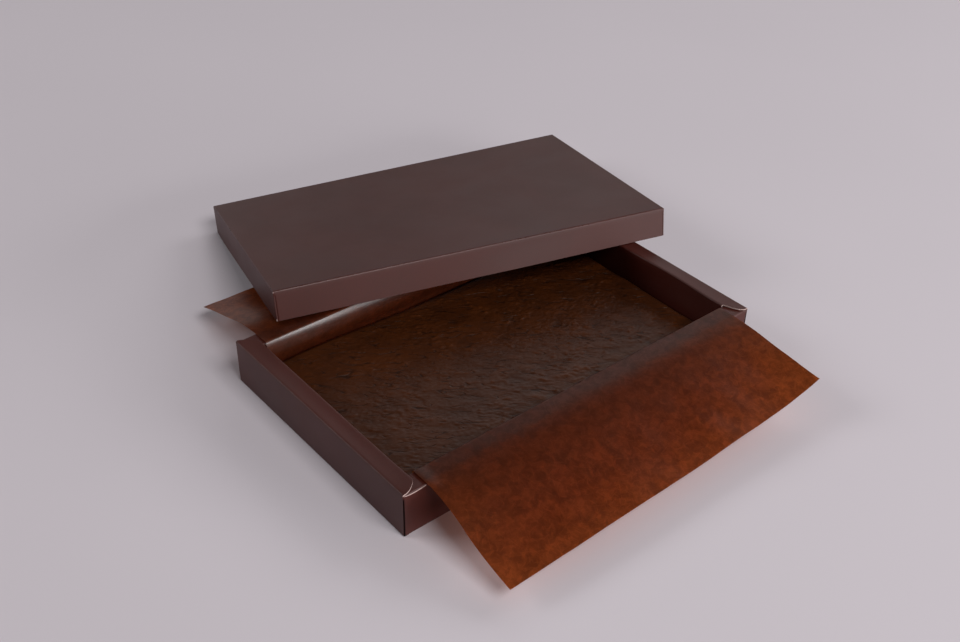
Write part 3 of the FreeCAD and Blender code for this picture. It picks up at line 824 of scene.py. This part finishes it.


class PRALINE_OT_pad(bpy.types.Operator):
    """Make the cushion pad of creped paper plies"""

    bl_idname = "praline.pad"
    bl_label = "Cushion pad"

    def execute(self, context):
        """The upper face is crowned by one minus the fourth powers of the places u and v along
        and across, puffed as a Gaussian along the rear edge, eased down at its edges and creped,
        more deeply towards the right."""
        sizes = context.scene.praline_pad
        low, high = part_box("pad")
        columns = round((high.x - low.x) / sizes.spacing) + 1
        rows = round((high.y - low.y) / sizes.spacing) + 1
        u, v = np.linspace(-1, 1, columns)[:, None], np.linspace(-1, 1, rows)[None, :]
        half_x, half_y = (high.x - low.x) / 2, (high.y - low.y) / 2
        relief = crinkles((columns, rows), sizes.spacing, sizes.depth, sizes.run) * (0.9 + 0.4 * u)
        to_edge = np.minimum((1 - np.abs(u)) * half_x, (1 - np.abs(v)) * half_y)
        along_puff = (u * half_x - sizes.puff_place) / sizes.puff_spread
        puff = sizes.puff * np.exp(-(along_puff**2)) * ease(v, 0.2, 1.0)
        crowned = high.z - sizes.lower + sizes.crown * (1 - u**4) * (1 - v**4) + puff
        rounded = sizes.edge_drop * (1 - ease(to_edge, *EDGE_ROUND))
        z = crowned - rounded + relief * ease(to_edge, *EDGE_CALM)
        at_ends = np.abs(u) == 1
        torn = TORN * rolling(u * half_x, v * half_y, TORN_WAVE, TORN_SEED) * at_ends
        face = (half_x - FACE_IN[0] + torn) * u, (half_y - FACE_IN[1]) * v, z
        base = (half_x - BASE_IN[0]) * u, (half_y - BASE_IN[1]) * v, np.full_like(z, low.z)
        face, base = (np.stack(np.broadcast_arrays(*parts), -1) for parts in (face, base))
        shell = block_shell(face, base, PLY_LAYERS, PLY_BOW)
        # relief handed to the finish, which paints shade in the valleys and light on the crests
        relief_for_painted_light = PAINTED_LIGHT_MEAN + PAINTED_LIGHT_SPREAD * (relief - relief.mean()) / relief.std()
        shell[3][: z.size] = relief_for_painted_light.ravel()
        piece = new_piece("cushion_pad", [shell], [crepe_finish(sizes)])
        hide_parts("pad")
        return {"FINISHED"}


# ------------------------ finishes


class Shading:
    """Short way to write a material's nodes. What goes into an input is a number, a colour of
    three numbers or another node's output."""

    def __init__(self, name):
        self.material = bpy.data.materials.new(name)
        self.material.use_nodes = True
        self.tree = self.material.node_tree
        self.tree.nodes.clear()
        self.output = self.tree.nodes.new("ShaderNodeOutputMaterial")
        self.skin = self.tree.nodes.new("ShaderNodeBsdfPrincipled")
        self.feed(self.output.inputs["Surface"], self.skin.outputs[0])

    def feed(self, target, value):
        if isinstance(value, bpy.types.NodeSocket):
            self.tree.links.new(value, target)
        elif target.type == "RGBA":
            target.default_value = (*value, 1.0)
        else:
            target.default_value = value

    def new(self, kind, output, inputs=None, **settings):
        """An output of a new node, with what goes into its inputs by their names or numbers."""
        node = self.tree.nodes.new(kind)
        for name, value in settings.items():
            setattr(node, name, value)
        for key, value in (inputs or {}).items():
            self.feed(node.inputs[key], value)
        return node.outputs[output]

    def wear(self, **inputs):
        """Feed the Principled shader's inputs, whose names are written with _ for each space."""
        for name, value in inputs.items():
            self.feed(self.skin.inputs[name.replace("_", " ")], value)

    def place(self):
        return self.new("ShaderNodeTexCoord", "Object")

    def wear_gloss_and_shade(self):
        return self.new("ShaderNodeAttribute", "Fac", attribute_name="wear_gloss_and_shade")

    def noise(self, vector, scale, detail, roughness, distortion=0.0):
        inputs = {"Vector": vector, "Scale": scale, "Detail": detail}
        inputs |= {"Roughness": roughness, "Distortion": distortion}
        return self.new("ShaderNodeTexNoise", "Fac", inputs)

    def cells(self, vector, size, turn, shift=0.0):
        """Coordinates that count cells of the given size, turned about Z and shifted."""
        inputs = {"Vector": vector, "Scale": size, "Rotation": (0, 0, turn), "Location": [shift] * 3}
        return self.new("ShaderNodeMapping", "Vector", inputs, vector_type="TEXTURE")

    def ramp(self, source, start, stop, low=0.0, high=1.0):
        """Rises or falls smoothly from low at start to high at stop, and is even beyond them."""
        inputs = {"Value": source, "From Min": start, "From Max": stop, "To Min": low, "To Max": high}
        return self.new("ShaderNodeMapRange", "Result", inputs, interpolation_type="SMOOTHSTEP")

    def mix(self, factor, first, second):
        inputs = {"Factor": factor, 6: first, 7: second}
        return self.new("ShaderNodeMix", 2, inputs, data_type="RGBA")

    def maths(self, operation, first, second=0.0):
        return self.new("ShaderNodeMath", 0, {0: first, 1: second}, operation=operation)

    def plus(self, first, second):
        return self.maths("ADD", first, second)

    def times(self, first, second):
        return self.maths("MULTIPLY", first, second)

    def bump(self, height, distance, strength=1.0):
        inputs = {"Height": height, "Distance": distance, "Strength": strength}
        return self.new("ShaderNodeBump", "Normal", inputs)


def tinted(colour_value, factor):
    return tuple(min(1.0, channel * factor) for channel in colour_value)


def card_finish(sizes):
    """Printed and coated card: brown with faint clouds and a fine grain. Folds are lighter and rougher
    where the coating has cracked, glossier where rubbed smooth. A corner's seam gap gets painted shade:
    near black and metallic, so that it stays dark."""
    if "printed_card" in bpy.data.materials:
        return bpy.data.materials["printed_card"]
    look = Shading("printed_card")
    place, wear_gloss_and_shade = look.place(), look.wear_gloss_and_shade()
    clouds = look.ramp(look.noise(place, 22.0, 4.0, 0.6), 0.35, 0.65)
    grain = look.noise(place, 1400.0, 2.0, 0.6)
    cracks = look.ramp(look.noise(place, 420.0, 4.0, 0.7), 0.42, 0.70)
    worn = look.times(look.ramp(wear_gloss_and_shade, PLAIN, WORN), cracks)
    burnished = look.ramp(wear_gloss_and_shade, 0.8, 1.6, 0.0, -0.22)
    # mask of the painted seam shade, whole where the channel is at its lowest
    seam = look.ramp(wear_gloss_and_shade, SEAM_SHADE, -0.2, 1.0, 0.0)
    base = look.mix(clouds, tinted(sizes.card, 0.92), tinted(sizes.card, 1.10))
    base = look.mix(look.ramp(grain, 0.35, 0.75, 0.0, 0.35), base, tinted(sizes.card, 1.6))
    base = look.mix(look.times(worn, 0.05), base, tinted(sizes.core, 0.5))
    # painted shade: the seam gap is mixed to near black
    base = look.mix(seam, base, tinted(sizes.card, 0.1))
    smears = look.ramp(look.noise(place, 35.0, 3.0, 0.55), 0.3, 0.7, 0.48, 0.52)
    roughness = look.plus(look.plus(smears, look.times(worn, 0.15)), burnished)
    waves = look.noise(place, 40.0, 1.0, 0.5)
    relief = look.plus(look.times(grain, 0.05), look.times(waves, 0.15))
    # Metallic also takes the painted seam shade, so that the gap reflects little and stays dark
    look.wear(Base_Color=base, Metallic=seam, Roughness=roughness, Specular_IOR_Level=0.5)
    look.wear(Normal=look.bump(relief, 0.2 * MM))
    return look.material


def core_finish(sizes):
    """Cut edge of the card: pale fibres with darker specks of coating."""
    if "card_core" in bpy.data.materials:
        return bpy.data.materials["card_core"]
    look = Shading("card_core")
    fibres = look.noise(look.place(), 2600.0, 3.0, 0.6)
    specks = look.ramp(fibres, 0.35, 0.70)
    base = look.mix(specks, tinted(sizes.core, 0.75), tinted(sizes.core, 1.15))
    look.wear(Base_Color=base, Roughness=0.85, Normal=look.bump(fibres, 0.2 * MM))
    return look.material


def glassine_finish(sizes, face_at):
    """Brown glassine: clouds, blots and short fibres in four directions, a coat of gloss by the point
    attribute, and light that comes through from behind. That light carries painted shade: there is less
    of it next to the tray's face, which is face_at from the sheet's middle, where the wing's underside
    lies in shade."""
    look = Shading("glassine")
    flat = look.new("ShaderNodeUVMap", "UV", uv_map="flat")
    clouds = look.ramp(look.noise(flat, 250.0, 4.0, 0.60, 0.7), 0.38, 0.64, 0.0, 0.52)
    blots = look.ramp(look.noise(flat, 110.0, 3.0, 0.55, 0.3), 0.34, 0.66, 0.0, 0.40)
    fibres = 0.0
    for turn, shift in ((0.3, 0.0), (1.1, 0.31), (1.9, 0.57), (2.7, 0.83)):
        aligned = look.cells(flat, (5 * MM, 0.7 * MM, 1.0), turn, shift)
        streak = look.ramp(look.noise(aligned, 1.0, 1.0, 0.4, 0.5), 0.60, 0.76)
        fibres = look.maths("MAXIMUM", fibres, streak)
    mottle = look.plus(look.plus(clouds, blots), look.times(fibres, 0.35))
    from_middle = look.maths("ABSOLUTE", look.new("ShaderNodeSeparateXYZ", "Y", {0: flat}))
    out = look.maths("SUBTRACT", from_middle, face_at)
    # painted shade: the light through the wing is cut to 0.78 next to the tray's face, where its
    # underside lies in shade
    painted_underside_shade = look.ramp(out, -4 * MM, 45 * MM, 0.78, 1.0)
    base = look.mix(mottle, tinted(sizes.face, 0.82), tinted(sizes.face, 1.31))
    glow = look.mix(mottle, tinted(sizes.glow, 0.81), tinted(sizes.glow, 1.23))
    glow = look.mix(painted_underside_shade, (0.0, 0.0, 0.0), glow)
    relief = look.plus(look.times(mottle, 0.08), look.noise(flat, 70.0, 3.0, 0.5))
    look.wear(Base_Color=base, Roughness=0.28, Specular_IOR_Level=0.7)
    look.wear(Coat_Weight=look.wear_gloss_and_shade(), Coat_Roughness=0.25, Coat_IOR=2.0)
    look.wear(Normal=look.bump(relief, 0.25 * MM))
    through = look.new("ShaderNodeBsdfTranslucent", 0, {"Color": glow})
    halves = {0: 0.75, 1: look.skin.outputs[0], 2: through}
    look.feed(look.output.inputs["Surface"], look.new("ShaderNodeMixShader", 0, halves))
    return look.material


def crepe_finish(sizes):
    """Creped paper: matt brown with a slight sheen, painted shade in its valleys and a painted
    highlight on its crests, and short sharp creases along the wrinkles that are painted dark as shade."""
    look = Shading("crepe")
    place, painted_relief_light = look.place(), look.wear_gloss_and_shade()
    grain = look.cells(place, (2.4 * MM, 0.9 * MM, 1.0), sizes.run)
    fine = look.noise(grain, 1.0, 3.0, 0.6, 0.6)
    clouds = look.ramp(look.noise(place, 60.0, 3.0, 0.55), 0.35, 0.68)
    base = look.mix(clouds, tinted(sizes.paper, 0.88), tinted(sizes.paper, 1.12))
    base = look.mix(look.ramp(fine, 0.5, 0.8, 0.0, 0.4), base, tinted(sizes.paper, 1.5))
    # painted shade: the relief's valleys are darkened
    base = look.mix(look.ramp(painted_relief_light, 0.1, 0.5, 0.35, 0.0), base, tinted(sizes.paper, 0.45))
    # painted highlight: the relief's crests are lightened
    base = look.mix(look.ramp(painted_relief_light, 0.6, 0.95, 0.0, 0.40), base, tinted(sizes.paper, 1.7))
    marks_and_shade = 0.0
    for turn, shift in ((-0.12, 0.0), (0.16, 0.4)):
        aligned = look.cells(place, (13 * MM, 3.4 * MM, 1.0), sizes.run + turn, shift)
        level = look.maths("SUBTRACT", look.noise(aligned, 1.0, 0.6, 0.4, 0.15), 0.5)
        line = look.ramp(look.maths("ABSOLUTE", level), 0.0, 0.045, 1.0, 0.0)
        shown = look.ramp(look.noise(aligned, 0.9, 1.0, 0.5), 0.50, 0.66)
        marks_and_shade = look.maths("MAXIMUM", marks_and_shade, look.times(line, shown))
    # painted shade: the crease lines are darkened to 0.15 of the paper's colour
    base = look.mix(look.times(marks_and_shade, 0.7), base, tinted(sizes.paper, 0.15))
    relief = look.maths("SUBTRACT", look.times(fine, 0.35), marks_and_shade)
    roughness = look.ramp(fine, 0.3, 0.7, 0.42, 0.52)
    look.wear(Base_Color=base, Roughness=roughness, Specular_IOR_Level=0.25)
    look.wear(Normal=look.bump(relief, 0.22 * MM, 0.8))
    return look.material


# ------------------------ stage


def facing(azimuth, elevation):
    """Turn of a lamp or camera that faces the middle from an azimuth and an elevation."""
    return Matrix.Rotation(azimuth, 4, "Z") @ Matrix.Rotation(math.pi / 2 - elevation, 4, "X")


# Azimuth from the front and elevation in degrees, width and height as shares of the distance, and
# radiance of each softbox.
SOFTBOXES = {
    "key": (0, 50, 0.50, 0.375, 7.7),
    "low": (0, 9, 0.47, 0.28, 4.6),
    "low_right": (27, 9, 0.47, 0.28, 13.4),
    "right": (90, 30, 0.50, 0.375, 3.2),
    "back_right": (135, 30, 0.50, 0.375, 1.8),
    "back": (168, 9, 0.47, 0.28, 0.85),
    "left": (225, 30, 0.50, 0.375, 4.45),
}


def add_softbox(name, distance, azimuth, elevation, width, height, radiance):
    """Rectangular lamp that faces the middle: its power is pi times its area times its radiance."""
    lamp = bpy.data.lights.new(name, "AREA")
    lamp.shape, lamp.size, lamp.size_y = "RECTANGLE", width * distance, height * distance
    lamp.energy = math.pi * lamp.size * lamp.size_y * radiance
    turn = facing(math.radians(azimuth), math.radians(elevation))
    new_object(name, lamp).matrix_world = turn @ Matrix.Translation((0, 0, distance))


def add_floor(studio):
    """Round pale floor under the box."""
    turn = np.linspace(0, 2 * math.pi, 129)[:-1]
    rim = studio.floor_share * studio.distance * np.stack([np.cos(turn), np.sin(turn), 0 * turn], -1)
    mesh = bpy.data.meshes.new("floor")
    mesh.from_pydata(rim.tolist(), [], [tuple(range(len(rim)))])
    floor = new_object("floor", mesh)
    look = Shading("floor_paper")
    clouds = look.ramp(look.noise(look.place(), 3.0, 2.0, 0.5), 0.3, 0.7)
    base = look.mix(clouds, tinted(studio.floor, 0.99), tinted(studio.floor, 1.01))
    look.wear(Base_Color=base, Roughness=0.9, Specular_IOR_Level=0.1)
    mesh.materials.append(look.material)


def add_world(studio):
    """Even light from all round, which the camera sees as a brighter backdrop."""
    world = bpy.data.worlds.new("studio")
    world.use_nodes = True
    nodes, links = world.node_tree.nodes, world.node_tree.links
    surround = nodes["Background"]
    surround.inputs["Color"].default_value = (*studio.floor, 1.0)
    seen, strength = nodes.new("ShaderNodeLightPath"), nodes.new("ShaderNodeMapRange")
    strength.inputs["To Min"].default_value = studio.world
    strength.inputs["To Max"].default_value = studio.backdrop
    links.new(seen.outputs["Is Camera Ray"], strength.inputs["Value"])
    links.new(strength.outputs["Result"], surround.inputs["Strength"])
    bpy.context.scene.world = world


def add_camera(studio):
    """Camera with a sensor 36 mm wide, and plain colours in the picture."""
    lens = bpy.data.cameras.new("camera")
    lens.lens, lens.sensor_width, lens.sensor_fit = studio.lens, 36.0, "HORIZONTAL"
    lens.clip_start, lens.clip_end = 0.01, 50.0
    camera = new_object("camera", lens)
    turn = facing(studio.azimuth, studio.elevation) @ Matrix.Rotation(studio.roll, 4, "Z")
    camera.matrix_world = Matrix.Translation(studio.place) @ turn
    bpy.context.scene.camera = camera
    bpy.context.scene.view_settings.view_transform = "Standard"


class PRALINE_OT_stage(bpy.types.Operator):
    """Set up the pale floor, the soft studio light and the camera"""

    bl_idname = "praline.stage"
    bl_label = "Stage"

    def execute(self, context):
        studio = context.scene.praline_studio
        add_floor(studio)
        for name, (*box, radiance) in SOFTBOXES.items():
            add_softbox(name, studio.distance, *box, radiance * studio.gain)
        add_world(studio)
        add_camera(studio)
        return {"FINISHED"}


# ------------------------ add-on


OPERATORS = (PRALINE_OT_tray, PRALINE_OT_lid, PRALINE_OT_liner, PRALINE_OT_pad, PRALINE_OT_stage)
GROUPS = {
    "praline_card": CardSizes,
    "praline_lid": LidSizes,
    "praline_liner": LinerSizes,
    "praline_pad": PadSizes,
    "praline_studio": StudioSettings,
}


class VIEW3D_PT_praline_box(bpy.types.Panel):
    """Lists the operators that make the praline box"""

    bl_idname = "VIEW3D_PT_praline_box"
    bl_label = "Praline Box"
    bl_space_type = "VIEW_3D"
    bl_region_type = "UI"
    bl_category = "Praline Box"

    def draw(self, context):
        for operator in OPERATORS:
            self.layout.operator(operator.bl_idname)


CLASSES = (*GROUPS.values(), *OPERATORS, VIEW3D_PT_praline_box)


def register():
    for made in CLASSES:
        bpy.utils.register_class(made)
    for name, group in GROUPS.items():
        setattr(bpy.types.Scene, name, bpy.props.PointerProperty(type=group))


def unregister():
    for name in GROUPS:
        delattr(bpy.types.Scene, name)
    for made in reversed(CLASSES):
        bpy.utils.unregister_class(made)


def main():
    register()
    bpy.ops.praline.tray()
    bpy.ops.praline.lid()
    bpy.ops.praline.liner()
    bpy.ops.praline.pad()
    bpy.ops.praline.stage()


if __name__ == "__main__":
    main()
